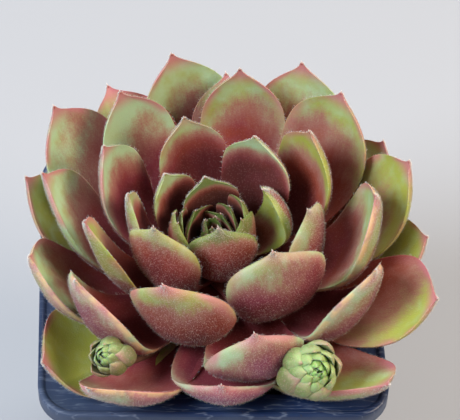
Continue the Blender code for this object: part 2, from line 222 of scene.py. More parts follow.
# Leaf form: shares of the length against shares of the full width and of the full thickness. Leaves of the
# heart have the young outline, which narrows sooner, and older leaves pass over to the other one.
OUTLINE = (
    (0, .42), (.2, .52), (.45, .82), (.66, 1.0), (.76, .99), (.84, .87), (.90, .64), (.94, .38),
    (.965, .18), (.985, .07), (1, .03),
)
YOUNG_OUTLINE = (
    (0, .50), (.2, .60), (.42, .88), (.6, 1.0), (.74, .98), (.82, .87), (.87, .67), (.905, .43), (.935, .23),
    (.965, .12), (1, .02),
)
THICKNESS = ((0, .8), (.3, 1.0), (.6, .95), (.85, .6), (.95, .34), (1, .06))
FLESH = 0.19
CUP, CUP_FLATTENING = 0.24, 0.4
RIPPLE = 0.009
ELBOW = 0.92
BOW_SCALE = 27 / 4
LEAF_ROWS, LEAF_ACROSS = 34, 16
ROW_CROWDING = 1.5
RIPENING = 1.6
TIP_MARGIN, MARGIN_WIDTH = 0.7, 0.15
# Flush of the upper face and of the underside: the share where it turns to green, how fast it falls there
# and how much slower on the oldest leaves, what the middle and every place add, and the most it may be
UPPER_TURN, UPPER_FALL, UPPER_FALL_AGED = 0.785, 7, 4.8
UPPER_MIDDLE, UPPER_GROUND, UPPER_MOST = 0.5, -0.6, 1.35
LOWER_TURN, LOWER_FALL = 0.86, 4.2
LOWER_MIDDLE, LOWER_GROUND, LOWER_MOST = 0.2, -0.5, 1.2
FLAT_SLOPE, FLAT_RANGE = 80, 20
FLAT_MARGIN, UPRIGHT_MARGIN, UPRIGHT_FLUSH = 0.9, 0.8, 0.35
FLUSH_HEADING, FLUSH_ASLANT = 50, 0.35


def eased(shares, u):
    """Smooth curve through the given pairs, read at every u."""
    x, y = np.array(shares, dtype=float).T
    slope = np.gradient(y, x)
    k = np.clip(np.searchsorted(x, u) - 1, 0, len(x) - 2)
    step = x[k + 1] - x[k]
    t = (u - x[k]) / step
    start = (2 * t**3 - 3 * t**2 + 1) * y[k] + (t**3 - 2 * t**2 + t) * step * slope[k]
    return start + (3 * t**2 - 2 * t**3) * y[k + 1] + (t**3 - t**2) * step * slope[k + 1]


def cubic(t, start, near, far, end):
    """Points at shares t of a cubic curve from start to end that is drawn towards near and far."""
    return (1 - t) ** 3 * start + 3 * (1 - t) ** 2 * t * near + 3 * (1 - t) * t**2 * far + t**3 * end


def midrib(root, root_slope, tip, tip_slope, u):
    """Points and directions of a midrib at shares u of its length.

    It is a cubic curve in an upright plane. It leaves the root at root_slope, turns up at the elbow where
    the two end directions meet, and reaches the tip at tip_slope.
    """
    root, tip = np.array(root, dtype=float), np.array(tip, dtype=float)
    out = np.array((np.cos(np.radians(root_slope)), np.sin(np.radians(root_slope))))
    up = np.array((np.cos(np.radians(tip_slope)), np.sin(np.radians(tip_slope))))
    span = tip - root
    elbow = root + out * (span[0] * up[1] - span[1] * up[0]) / (out[0] * up[1] - out[1] * up[0])
    near, far = root + ELBOW * (elbow - root), tip + ELBOW * (elbow - tip)
    fine = np.linspace(0, 1, 161)[:, None]
    run = np.concatenate([[0], np.cumsum(np.hypot(*np.diff(cubic(fine, root, near, far, tip), axis=0).T))])
    t = np.interp(u, run / run[-1], fine[:, 0])[:, None]
    along = 3 * (1 - t) ** 2 * (near - root) + 6 * (1 - t) * t * (far - near) + 3 * t**2 * (tip - far)
    return cubic(t, root, near, far, tip), along / np.linalg.norm(along, axis=1)[:, None], run[-1]


def age_of(reach):
    """0 for the youngest leaf at the heart, 1 for the outermost."""
    return min(max((reach - INNER_REACH) / (OUTER_REACH - INNER_REACH), 0), 1)


def leaf_flush(u, side, inner, reach, tip_slope, angle):
    """How maroon the upper face and the underside are, before the leaf's own blush.

    Both fall towards the tip: they pass over to green at their turns, faster on young upper faces. The
    half of a leaf that lies towards the flush heading is redder. The margins of upright leaves are green,
    and those of flat ones maroon.
    """
    aslant = -FLUSH_ASLANT * np.sin(angle - np.radians(FLUSH_HEADING)) * side
    flat = min(max((FLAT_SLOPE - tip_slope) / FLAT_RANGE, 0), 1)
    edge = (1 - inner) * (FLAT_MARGIN * flat - UPRIGHT_MARGIN * (1 - flat)) + UPRIGHT_FLUSH * (1 - flat)
    fall = UPPER_FALL - UPPER_FALL_AGED * age_of(reach)
    upper = UPPER_MIDDLE * inner + fall * (UPPER_TURN - u) + aslant + edge + UPPER_GROUND
    lower = LOWER_MIDDLE * inner + LOWER_FALL * (LOWER_TURN - u) + aslant / 2 + LOWER_GROUND
    return upper, lower


def leaf_skin(row, root, root_slope, rows, across, outlines=(YOUNG_OUTLINE, OUTLINE), fleshy=FLESH):
    """Rings of points round one leaf about its own stem axis, and each point's marks.

    With s from -1 to 1 across the leaf, half its width h and flesh f, the upper face is the trough
    cup * h * s^2, flatter towards the tip, and the underside lies f * sqrt(1 - s^2) below it. Roll turns the
    leaf about its midrib and sway carries it sideways by the square of the share u. A ripple of about 0.2 mm
    keeps the faces from being perfectly even. Bow moves the blade towards +X by bow * 27/4 * u^2 * (1 - u),
    which is bow at its greatest and leaves the root and the tip in place. The outline passes from the first
    to the second of the pair as the leaf ripens. The margin mark is about the distance to the edge in
    millimetres, and inner goes with it from 0 at the edge towards 1.
    """
    turn, reach, rise, width, tip_slope, roll, sway, bow, blush, under_blush, gold = row
    u = 1 - (1 - np.linspace(0, 1, rows)) ** ROW_CROWDING
    spine, along, length = midrib(root, root_slope, (reach, rise), tip_slope, u)
    normal = np.column_stack([-along[:, 1], along[:, 0]])
    fan = np.linspace(0, np.pi, across + 1)
    side = np.concatenate([-np.cos(fan), np.cos(fan)[1:-1]])
    under = np.concatenate([np.zeros(across + 1), np.ones(across - 1)]) * np.sqrt(1 - side**2)
    ripe = min(1, RIPENING * age_of(reach))
    half = (width / 2 * (eased(outlines[0], u) * (1 - ripe) + eased(outlines[1], u) * ripe))[:, None]
    flesh = (fleshy * width * eased(THICKNESS, u))[:, None]
    lift = CUP * (1 - CUP_FLATTENING * u[:, None] ** 4) * half * side**2 - under * flesh
    ripple = np.sin(7 * u[:, None] + 4 * side + turn) + np.sin(11 * u[:, None] - 5 * side + 2 * turn)
    lift = lift + RIPPLE * width * np.sin(np.pi * u[:, None]) * ripple
    twist = np.radians(roll) * u[:, None]
    sideways = half * side * np.cos(twist) - lift * np.sin(twist) + sway * u[:, None] ** 2
    upward = half * side * np.sin(twist) + lift * np.cos(twist)
    radius = spine[:, :1] + normal[:, :1] * upward
    height = spine[:, 1:] + normal[:, 1:] * upward
    angle = np.radians(turn)
    points = np.stack([
        radius * np.cos(angle) - sideways * np.sin(angle) + bow * BOW_SCALE * (u**2 * (1 - u))[:, None],
        radius * np.sin(angle) + sideways * np.cos(angle),
        height,
    ], axis=-1)
    u, side = np.broadcast_arrays(u[:, None], side)
    margin = np.minimum(half * (1 - np.abs(side)), TIP_MARGIN * length * (1 - u))
    inner = margin / (margin + MARGIN_WIDTH * width)
    upper, lower = leaf_flush(u, side, inner, reach, tip_slope, angle)
    upper = np.minimum(upper + blush, UPPER_MOST)
    lower = np.minimum(lower + under_blush, LOWER_MOST)
    marks = {
        "flush": upper + (lower - upper) * under,
        "gold": np.full(u.shape, gold % 1),
        # Where the painted highlight, a pale line below the margin, shows.
        "ridge_highlight": np.full(u.shape, gold // 1),
        "share": u,
        "margin": margin,
        "belly": np.broadcast_to(under, u.shape),
        "grain": np.stack([half * side, u * length / 4, np.full(u.shape, turn * 1.7 + reach)], axis=-1),
    }
    return points, marks


def closed_faces(count, rows, ring):
    """Triangles of closed skins: strips between neighbouring rings, and a fan to a point at each end."""
    i, j = np.meshgrid(np.arange(rows - 1), np.arange(ring), indexing="ij")
    a = (i * ring + j).ravel()
    b = (i * ring + (j + 1) % ring).ravel()
    j = np.arange(ring)
    k = (j + 1) % ring
    last = (rows - 1) * ring
    one = np.concatenate([
        np.stack([a, a + ring, b], axis=1),
        np.stack([b, a + ring, b + ring], axis=1),
        np.stack([np.full(ring, rows * ring), j, k], axis=1),
        np.stack([np.full(ring, rows * ring + 1), last + k, last + j], axis=1),
    ])
    return (one[None] + np.arange(count)[:, None, None] * (rows * ring + 2)).reshape(-1, 3)


def with_ends(values):
    """Rings of values (leaves, rows, ring, ...) as one row a leaf, then the means of both end rings."""
    flat = values.reshape(len(values), -1, *values.shape[3:])
    return np.concatenate([flat, values[:, :1].mean(axis=2), values[:, -1:].mean(axis=2)], axis=1)


def closed_skins(rings):
    """Points and triangles of closed skins from their rings of points (skins, rows, ring, 3)."""
    return with_ends(rings).reshape(-1, 3), closed_faces(*rings.shape[:3])


def joined_marks(all_marks):
    """The marks of many leaves, each as one value or vector per point in the order of with_ends."""
    joined = {mark: with_ends(np.array([marks[mark] for marks in all_marks])) for mark in all_marks[0]}
    return {mark: values.reshape(-1, *values.shape[2:]) for mark, values in joined.items()}


THIN_SHARE, THICK_AGE = 0.6, 0.25
ROOT_SLOPE, OLD_ROOT_SLOPE = 45, 2
rosette_rows = list(OUTER_LEAVES + MIDDLE_LEAVES + INNER_LEAVES + HEART_LEAVES)
for number in range(BUD_LEAVES):
    bud_form = (number * GOLDEN_ANGLE, BUD_REACH, BUD_RISE + number * BUD_STEP, BUD_WIDTH, BUD_SLOPE)
    rosette_rows.append((*bud_form, 0, 0, 0, *BUD_TINTS))
skins, all_marks = [], []
for row in rosette_rows:
    age = age_of(row[1])
    root = (ROOT_REACH, INNER_ROOT + (OUTER_ROOT - INNER_ROOT) * age)
    fleshy = FLESH * (THIN_SHARE + (1 - THIN_SHARE) * min(1, age / THICK_AGE))
    root_slope = ROOT_SLOPE * (1 - age) ** 2 + OLD_ROOT_SLOPE
    points, marks = leaf_skin(row, root, root_slope, LEAF_ROWS, LEAF_ACROSS, fleshy=fleshy)
    skins.append(points + (HEART_X + (FOOT_X - HEART_X) * age, 0, RIM_TOP))
    marks["age"] = np.full(points.shape[:2], age)
    all_marks.append(marks)
rosette_skins = np.array(skins)
rosette_marks = joined_marks(all_marks)


# Leaf skin: waxy and velvety plant skin that lets a little light through, green to maroon by the flush mark.
# The offsets' leaves share it with paler colours.
def faded(add, amount, *ranges):
    """An amount times a share for each range (value, low, high, top).

    The share eases from 0 where the value is low to top where it is high, along a smooth step.
    """
    for value, low, high, top in ranges:
        share = add("MapRange", (value, low, high, 0.0, top), interpolation_type="SMOOTHSTEP")
        amount = add("Math", (amount, share), operation="MULTIPLY")
    return amount


def tinted(add, color, tone, amount, *ranges):
    """A colour carried towards a tone by an amount that is faded by the ranges."""
    return add("Mix", {0: faded(add, amount, *ranges), 6: color, 7: tone}, 2, data_type="RGBA")


def leaf_material(name, glow, shade, mint, lime, heart, tan, maroon, russet, dark, plum, rose, heart_shade):
    """Houseleek skin from its colours; the marks of leaf_skin say where each one shows.

    The ground is mint or lime by gold, and takes the heart colour in the youngest leaves; the rosette's
    dark heart colour is painted shade of its hollow heart. Flush carries it through tan to maroon and
    dark, after streaks along the leaf, clouds and specks have made it uneven. The shade share carries
    undersides towards dark, as painted shade. Undersides turn plum where they aren't golden, and young
    leaves are brown-black at the foot of the upper face, painted shade deep among the leaves. Older ones
    are rosy at the margin and the tip, and some have a pale cream line below the margin, a painted
    highlight where light catches a ridge there. Velvet is drawn as pale dots about half a millimetre
    apart, coarser than real hairs so that it shows.
    """
    material, shader, add = new_material(name)
    place = add("TexCoord", output="Object")
    flush, gold, ridge_highlight, share, margin, belly, age = (
        add("Attribute", output="Fac", attribute_name=mark)
        for mark in ("flush", "gold", "ridge_highlight", "share", "margin", "belly", "age"))
    grain = add("Attribute", output="Vector", attribute_name="grain")
    streak = add("TexNoise", {"Vector": grain, "Scale": 0.9})
    cloud, mottle, speck = (
        add("TexNoise", {"Vector": place, "Scale": 1 / (size * MM), "Detail": detail})
        for size, detail in ((11.0, 1.0), (4.0, 2.0), (0.4, 1.0)))
    uneven = 0.0
    for pattern, weight in ((streak, 0.3), (cloud, 0.7), (mottle, 0.35)):
        centred = add("Math", (pattern, 0.5), operation="SUBTRACT")
        uneven = add("Math", (centred, weight, uneven), operation="MULTIPLY_ADD")
    stronger = add("Math", (belly, 0.9, 1.0), operation="MULTIPLY_ADD")
    flush = add("Math", (uneven, stronger, flush), operation="MULTIPLY_ADD")
    specked = add("Math", (speck, 0.5), operation="SUBTRACT")
    flush = add("Math", (specked, 0.35, flush), operation="MULTIPLY_ADD")
    golden = add("Math", (gold, mottle), operation="ADD")
    golden = faded(add, 1.0, (golden, 0.5, 1.5, 1.0))
    red = tinted(add, maroon, russet, golden)
    red = tinted(add, red, plum, belly, (gold, 0.7, 0.1, 0.85))
    color = tinted(add, mint, lime, golden)
    # The youngest leaves take the heart colour; the rosette's dark one is painted shade of its hollow heart.
    color = tinted(add, color, heart, 1.0, (age, 0.22, 0.05, 1.0))
    color = tinted(add, color, tan, 1.0, (flush, -0.25, 0.45, 1.0))
    color = tinted(add, color, red, 1.0, (flush, 0.1, 0.9, 1.0))
    color = tinted(add, color, dark, 1.0, (flush, 0.75, 1.5, 1.0))
    # Painted shade: the shade share carries undersides towards dark.
    color = tinted(add, color, dark, add("Math", (belly, shade), operation="MULTIPLY"))
    # Painted shade: young upper faces turn brown-black at their foot, deep in the heart.
    above = add("Math", (1.0, belly), operation="SUBTRACT")
    color = tinted(add, color, heart_shade, above, (age, 0.6, 0.15, 0.6), (flush, 0.3, 1.1, 1.0))
    rosy = faded(add, 1.0, (margin, 3.2, 0.2, 1.0), (cloud, 0.35, 0.6, 1.0), (share, 0.6, 0.9, 0.85))
    rosy = add("Math", (rosy, faded(add, 1.0, (share, 0.90, 0.985, 0.9))), operation="MAXIMUM")
    color = tinted(add, color, rose, rosy, (age, 0.2, 0.65, 1.0))
    # Painted highlight: a pale cream line on the underside just below the margin, where light catches a
    # ridge.
    color = tinted(add, color, "dfc08a", ridge_highlight, (margin, 1.4, 0.3, 0.7), (belly, 0.0, 0.15, 1.0),
                   (mottle, 0.35, 0.55, 1.0))
    cells = add("TexVoronoi", {"Vector": place, "Scale": 1 / (0.55 * MM)}, "Distance")
    velvet = add("Math", (belly, 0.24, 0.10), operation="MULTIPLY_ADD")
    dots = faded(add, 1.0, (cells, 0.42, 0.12, 1.0))
    color = tinted(add, color, "d4a8a4", add("Math", (dots, velvet), operation="MULTIPLY"))
    height = add("Math", (dots, 0.7, speck), operation="MULTIPLY_ADD")
    bump = add("Bump", {"Height": height, "Strength": 0.5, "Distance": 0.09 * MM})
    feed(shader, {
        "Base Color": color, "Normal": bump, "Roughness": 0.48, "Specular IOR Level": 0.35,
        "Subsurface Weight": glow, "Subsurface Radius": (1.0, 0.45, 0.25), "Subsurface Scale": 1.2 * MM,
        "Sheen Weight": 0.06, "Sheen Roughness": 0.4, "Sheen Tint": "e8dcd6",
    })
    return material


def mesh_piece(name, points, faces, material, slot, replaces=None, **marks):
    """A piece from points in millimetres, triangles and one number or vector per point for each mark."""
    mesh = bpy.data.meshes.new(name)
    mesh.vertices.add(len(points))
    mesh.vertices.foreach_set("co", (points * MM).ravel())
    mesh.loops.add(faces.size)
    mesh.loops.foreach_set("vertex_index", faces.ravel())
    mesh.polygons.add(len(faces))
    mesh.polygons.foreach_set("loop_start", np.arange(len(faces)) * faces.shape[1])
    mesh.update(calc_edges=True)
    mesh.shade_smooth()
    for mark, values in marks.items():
        kind, key = ("FLOAT_VECTOR", "vector") if values.ndim > 1 else ("FLOAT", "value")
        mesh.attributes.new(mark, kind, "POINT").data.foreach_set(key, values.astype(np.float32).ravel())
    mesh.materials.append(material)
    piece = add_object(name, mesh)
    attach(piece, "root")
    if replaces:
        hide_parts(replaces)
    return piece


# The dark olive heart colour, the brown-black for the foot of young leaves and the shade share of the
# undersides are painted shade.
leaf_skin_material = leaf_material(
    "houseleek skin, maroon and green", glow=0.1, shade=0.33, mint="afcda2", lime="a3aa48", heart="59702f",
    tan="a87868", maroon="883a45", russet="934330", dark="68282b", plum="8c426c", rose="c4777e",
    heart_shade="3d2c20",
)
mesh_piece("rosette_leaves", *closed_skins(rosette_skins), leaf_skin_material, "leaves", "rosette",
           **rosette_marks)


# Hairs: stiff white ones stand along every leaf margin, and a velvet of finer ones covers the undersides.
# Each is a slim three-sided spike rooted in the skin, a little thicker than in life so that it shows.
draw = np.random.default_rng(21)


def read_skin(skins, leaf, i, j):
    """Points at fractional rows i and ring places j, between the four nearest points of each leaf."""
    rows, ring = skins.shape[1:3]
    i = np.clip(i, 0, rows - 1.001)
    low, across = i.astype(int), j.astype(int) % ring
    a, b = (i - low)[:, None], (j - np.floor(j))[:, None]
    near = skins[leaf, low, across] * (1 - b) + skins[leaf, low, (across + 1) % ring] * b
    far = skins[leaf, low + 1, across] * (1 - b) + skins[leaf, low + 1, (across + 1) % ring] * b
    return near * (1 - a) + far * a


def unit(vectors):
    """Vectors scaled to length one."""
    return vectors / (np.linalg.norm(vectors, axis=-1, keepdims=True) + 1e-9)


def skin_directions(skins, leaf, i, j):
    """Direction towards the tip and outward normal at places on the skins, from half a step either way."""
    behind = j + skins.shape[2] - 0.5
    forward = unit(read_skin(skins, leaf, i + 0.5, j) - read_skin(skins, leaf, i - 0.5, j))
    around = unit(read_skin(skins, leaf, i, j + 0.5) - read_skin(skins, leaf, i, behind))
    return forward, unit(np.cross(forward, around))


def ways_round(axes, aside, count):
    """Unit directions square to each axis, evenly spread from the one aside."""
    turns = np.radians(np.arange(count) * 360 / count)[:, None]
    return aside[:, None] * np.cos(turns) + np.cross(axes, aside)[:, None] * np.sin(turns)


def spikes(feet, directions, lengths, thickness):
    """Points and faces of slim three-sided spikes, one on each foot."""
    aside = unit(np.cross(directions, draw.normal(size=feet.shape)))
    base = feet[:, None] + ways_round(directions, aside, 3) * thickness / 2
    tips = feet + directions * lengths[:, None]
    points = np.concatenate([base, tips[:, None]], axis=1).reshape(-1, 3)
    one = np.array([(0, 1, 3), (1, 2, 3), (2, 0, 3), (2, 1, 0)])
    faces = (one[None] + np.arange(len(feet))[:, None, None] * 4).reshape(-1, 3)
    return points, faces


def hair_material(name, color):
    """Thin pale hair that lets some light through."""
    material, shader, add = new_material(name)
    place = add("TexCoord", output="Object")
    patches = add("TexNoise", {"Vector": place, "Scale": 1 / (3.0 * MM)})
    feed(shader, {
        "Base Color": tinted(add, color, "ece5da", patches), "Roughness": 0.5,
        "Subsurface Weight": 0.3, "Subsurface Scale": 0.3 * MM,
    })
    return material


def margin_hairs(skins, per_leaf, length, thickness):
    """Spikes along both margins of every leaf, from a fifth of its rows almost to its tip.

    They point outwards and a little forwards, and each leans its own way.
    """
    leaf = np.repeat(np.arange(len(skins)), per_leaf)
    rows, ring = skins.shape[1:3]
    i = draw.uniform(0.2, 0.93, len(leaf)) * (rows - 1)
    j = np.where(draw.random(len(leaf)) < 0.5, 0.0, ring / 2) + 1e-6
    feet = read_skin(skins, leaf, i, j)
    middle = read_skin(skins, leaf, i, np.full(len(leaf), ring / 4))
    forward, _ = skin_directions(skins, leaf, i, j)
    onward = forward * draw.uniform(0.1, 0.6, (len(leaf), 1))
    lean = unit(unit(feet - middle) + onward + draw.normal(0, 0.22, feet.shape))
    return spikes(feet, lean, length * draw.uniform(0.5, 1.1, len(leaf)), thickness)


def belly_hairs(skins, per_leaf, length, thickness):
    """Short spikes over the underside of every leaf, leaning towards the tip."""
    leaf = np.repeat(np.arange(len(skins)), per_leaf)
    rows, ring = skins.shape[1:3]
    i = draw.uniform(0.3, 0.98, len(leaf)) * (rows - 1)
    side = draw.uniform(-0.98, 0.98, len(leaf))
    j = ring - np.arccos(-side) / np.pi * ring / 2
    feet = read_skin(skins, leaf, i, j)
    forward, normal = skin_directions(skins, leaf, i, j)
    lean = unit(normal + forward * 0.5 + draw.normal(0, 0.3, feet.shape))
    return spikes(feet, lean, length * draw.uniform(0.5, 1.2, len(leaf)), thickness)


# Each row: group, its leaves, margin hairs a leaf, their length, and velvet hairs a leaf
HAIR_GROUPS = (
    ("outer", len(OUTER_LEAVES), 100, 0.7, 3200),
    ("middle", len(MIDDLE_LEAVES), 100, 0.9, 2700),
    ("inner", len(INNER_LEAVES), 100, 0.9, 2200),
    ("heart", len(HEART_LEAVES) + BUD_LEAVES, 24, 0.4, 100),
)
MARGIN_HAIR_THICKNESS = 0.065
VELVET_LENGTH, VELVET_THICKNESS = 0.6, 0.048
hair = hair_material("leaf hair, white", "dccdc0")
start = 0
for group, leaves, margin_count, margin_length, velvet_count in HAIR_GROUPS:
    skins = rosette_skins[start:start + leaves]
    start += leaves
    fringe = margin_hairs(skins, margin_count, margin_length, MARGIN_HAIR_THICKNESS)
    velvet = belly_hairs(skins, velvet_count, VELVET_LENGTH, VELVET_THICKNESS)
    mesh_piece(f"rosette_{group}_margin_hairs", *fringe, hair, "leaves")
    mesh_piece(f"rosette_{group}_belly_hairs", *velvet, hair, "leaves")

# Leaf points: every leaf of the rosette ends in a short hard point, reddish at its foot and whitish at its
# end. It grows out of the tip, and is larger on wide leaves.
POINT_LENGTH, POINT_THICKNESS = 1.0, 0.5
POINT_SIDES = 8
LEAST_POINT, FULL_POINT_WIDTH = 0.35, 40
POINT_PROFILE = ((-0.5, 0.9), (0, 1), (0.35, 0.75), (0.75, 0.4), (1, 0.05))


def points_on(skins, lengths, thicknesses):
    """Rings of slim cones on the leaf tips, and each ring's share of the way from first to last.

    Each pair of the profile is a place along the point and the width there, as shares of its length and
    thickness. The first ring stands inside the leaf.
    """
    feet = skins[:, -1].mean(axis=1)
    forward = unit(feet - skins[:, -4].mean(axis=1))
    aside = unit(np.cross(forward, draw.normal(size=feet.shape)))
    ways = ways_round(forward, aside, POINT_SIDES)[:, None]
    along, reach = np.array(POINT_PROFILE).T[:, None, :, None, None]
    along = along * lengths[:, None, None, None]
    reach = reach * thicknesses[:, None, None, None] / 2
    rings = feet[:, None, None] + forward[:, None, None] * along + ways * reach
    shares = np.linspace(0, 1, len(POINT_PROFILE))[None, :, None, None]
    return rings, np.broadcast_to(shares, (*rings.shape[:3], 1))


def point_material():
    """Horny leaf point: pinkish red that fades to dull white."""
    material, shader, add = new_material("leaf point, horny white")
    share = add("Attribute", output="Fac", attribute_name="share")
    color = tinted(add, "b0665c", "eadcd2", 1.0, (share, 0.1, 0.8, 1.0))
    feed(shader, {"Base Color": color, "Roughness": 0.45})
    return material


widths = np.array(rosette_rows)[:, 3]
point_sizes = np.minimum(1.0, LEAST_POINT + widths / FULL_POINT_WIDTH)
cones, cone_shares = points_on(rosette_skins, POINT_LENGTH * point_sizes, POINT_THICKNESS * point_sizes)
mesh_piece("rosette_leaf_points", *closed_skins(cones), point_material(), "leaves",
           share=with_ends(cone_shares).ravel())

# Stem and runners: the woody stem of the mother plant, which stands in the soil and leans as it rises, and
# the two thin runners that grew from it and end under its offsets.
STEM_RADIUS, STEM_FOOT, STEM_BEND, STEM_TOP = 6.5, -23.0, -2.0, 8.0
STEM_RINGS, STEM_SIDES = 41, 40
RUNNER_RADIUS, RUNNER_START, RUNNER_LEVEL, RUNNER_BEND = 1.1, -4.0, 0.6, 12.0
RUNNER_RINGS, RUNNER_SIDES = 40, 24
KNOBBLY = 0.96
OFFSET_STEM, GAP = 1.5, 0.3
# The feet come from a search for places that match the photograph and clear the other pieces
# The left offset's greater blush carries it further into the young skin's dark olive tan: partly its own
# browner tone, partly painted shade, as it lies under the mother's leaves.
OFFSETS = {
    "offset_left": dict(
        foot=(-22.7, -36.8, 13.2), lean=35, toward=235, leaf=9.0, count=16, opens=330, blush=0.35),
    "offset_right": dict(
        foot=(25.8, -38.8, 11.7), lean=40, toward=285, leaf=12.0, count=24, opens=120, blush=0.1),
}


def head_axis(lean, toward):
    """Unit vector that leans from upright towards a heading."""
    tilt, way = np.radians(lean), np.radians(toward)
    return np.array((np.sin(tilt) * np.cos(way), np.sin(tilt) * np.sin(way), np.cos(tilt)))


def tube(spine, radii, beside, sides=RUNNER_SIDES):
    """Rings of a round stem along points in the upright plane square to beside, a little knobbly.

    Each ring stands square to the path, at radius times a random share from KNOBBLY to 1.
    """
    spine = np.array(spine, dtype=float)
    along = unit(np.gradient(spine, axis=0))
    across = np.tile(unit(np.array(beside, dtype=float)), (len(spine), 1))
    reach = np.broadcast_to(radii, len(spine))[:, None] * draw.uniform(KNOBBLY, 1.0, (len(spine), sides))
    return spine[:, None] + ways_round(along, across, sides) * reach[..., None]


def tubes(rings):
    """Points and triangles of closed tubes, whose rings run the other way round than a leaf's."""
    points, faces = closed_skins(rings)
    return points, faces[:, ::-1]


def runner_spine(sizes):
    """Cubic path from the mother's stem, level at first, up to just under an offset, and the way beside."""
    axis = head_axis(sizes["lean"], sizes["toward"])
    foot = np.array(sizes["foot"]) + (0, 0, RIM_TOP)
    start = np.array((FOOT_X, 0, RIM_TOP + RUNNER_START))
    end = foot - axis * (OFFSET_STEM + GAP)
    level = (end - start) * (1, 1, 0)
    beside = np.array((-level[1], level[0], 0))
    axis -= np.dot(axis, beside) * beside / np.dot(beside, beside)
    near, far = start + level * RUNNER_LEVEL, end - axis * RUNNER_BEND
    t = np.linspace(0, 1, RUNNER_RINGS)[:, None]
    return cubic(t, start, near, far, end), beside


def stem_material():
    """Stem bark: brown and reddish, dull, with dark spots where old leaves sat."""
    material, shader, add = new_material("stem bark, reddish brown")
    place = add("TexCoord", output="Object")
    patches, spots, relief = (
        add("TexNoise", {"Vector": place, "Scale": 1 / (size * MM)}) for size in (2.0, 0.7, 0.6))
    color = tinted(add, "7d5a45", "5b2f2c", patches)
    color = tinted(add, color, "3a231d", 1.0, (spots, 0.55, 0.75, 0.6))
    bump = add("Bump", {"Height": relief, "Strength": 0.5, "Distance": 0.2 * MM})
    feed(shader, {"Base Color": color, "Normal": bump, "Roughness": 0.7})
    return material


bark = stem_material()
# Each row: x, y, height and radius, from the foot in the soil to the end among the leaves of the heart
stem_levels = np.array((
    (FOOT_X, 0, STEM_FOOT, STEM_RADIUS),
    (FOOT_X, 0, STEM_BEND, STEM_RADIUS),
    ((FOOT_X + HEART_X) / 2, 0, STEM_TOP / 2, STEM_RADIUS),
    (HEART_X, 0, STEM_TOP, 5.4),
    (HEART_X, 0, STEM_TOP + 4, 3.9),
    (HEART_X, 0, STEM_TOP + 6.5, 1.3),
))
levels = np.arange(len(stem_levels))
between = np.linspace(0, levels[-1], STEM_RINGS)
stem_path = np.stack([np.interp(between, levels, column) for column in stem_levels.T], axis=1)
stem_rings = tube(stem_path[:, :3] + (0, 0, RIM_TOP), stem_path[:, 3], (0, 1, 0), STEM_SIDES)
mesh_piece("rosette_stem", *tubes(stem_rings[None]), bark, "leaves")
runner_paths = [runner_spine(sizes) for sizes in OFFSETS.values()]
runner_rings = np.array([tube(spine, RUNNER_RADIUS, beside) for spine, beside in runner_paths])
mesh_piece("rosette_runners", *tubes(runner_rings), bark, "leaves")

# Offsets: two young rosettes on the runners, pale green and soft. Their leaves follow the golden angle, from
# three in the bud to the oldest outside, and stand closed on one side and open on the other.
OFFSET_ROWS, OFFSET_ACROSS = 18, 8
OFFSET_BUD_LEAVES = 3
OFFSET_OUTLINE = (
    (0, .5), (.25, .76), (.48, .98), (.62, 1.0), (.73, .84), (.82, .58), (.9, .31), (.95, .16), (1, .03),
)
OFFSET_FLESH = 0.27
OPEN_SIDE, CLOSED_SIDE = 1.6, 0.9
# Shares of the length of a leaf, for the youngest one and what age and opening add, and slopes in degrees
YOUNG_REACH, REACH_BY_AGE, REACH_BY_OPENING = 0.02, 0.41, 0.12
FALL_BY_AGE = 0.28
YOUNG_WIDTH, WIDTH_BY_AGE = 0.34, 0.30
CLOSED_SLOPE, SLOPE_BY_OPENING = 105, 18
YOUNG_ROOT_REACH, YOUNG_ROOT_RISE, YOUNG_ROOT_SLOPE = 0.03, 0.3, 35
BLUSH_BY_AGE = 0.3
OFFSET_FLUSH, OFFSET_GROUND = 0.25, 0.35
OFFSET_AGE = 0.6
OFFSET_STEM_RINGS, OFFSET_STEM_HEIGHT = 9, 0.35
OFFSET_STEM_FOOT, OFFSET_STEM_TIP = 0.16, 0.12
# Its dark olive colour at the foot of young leaves is painted shade, and its darkened tan is in part painted
# shade for the left offset; its heart colour is the offsets' own fresh green.
young_skin_material = leaf_material(
    "young houseleek skin, pale green", glow=0.35, shade=0.0, mint="9fc181", lime="a0b565", heart="93c06c",
    tan="6c8045", maroon="77744a", russet="836c46", dark="6a5040", plum="86705a", rose="b4857a",
    heart_shade="5c6a38",
)
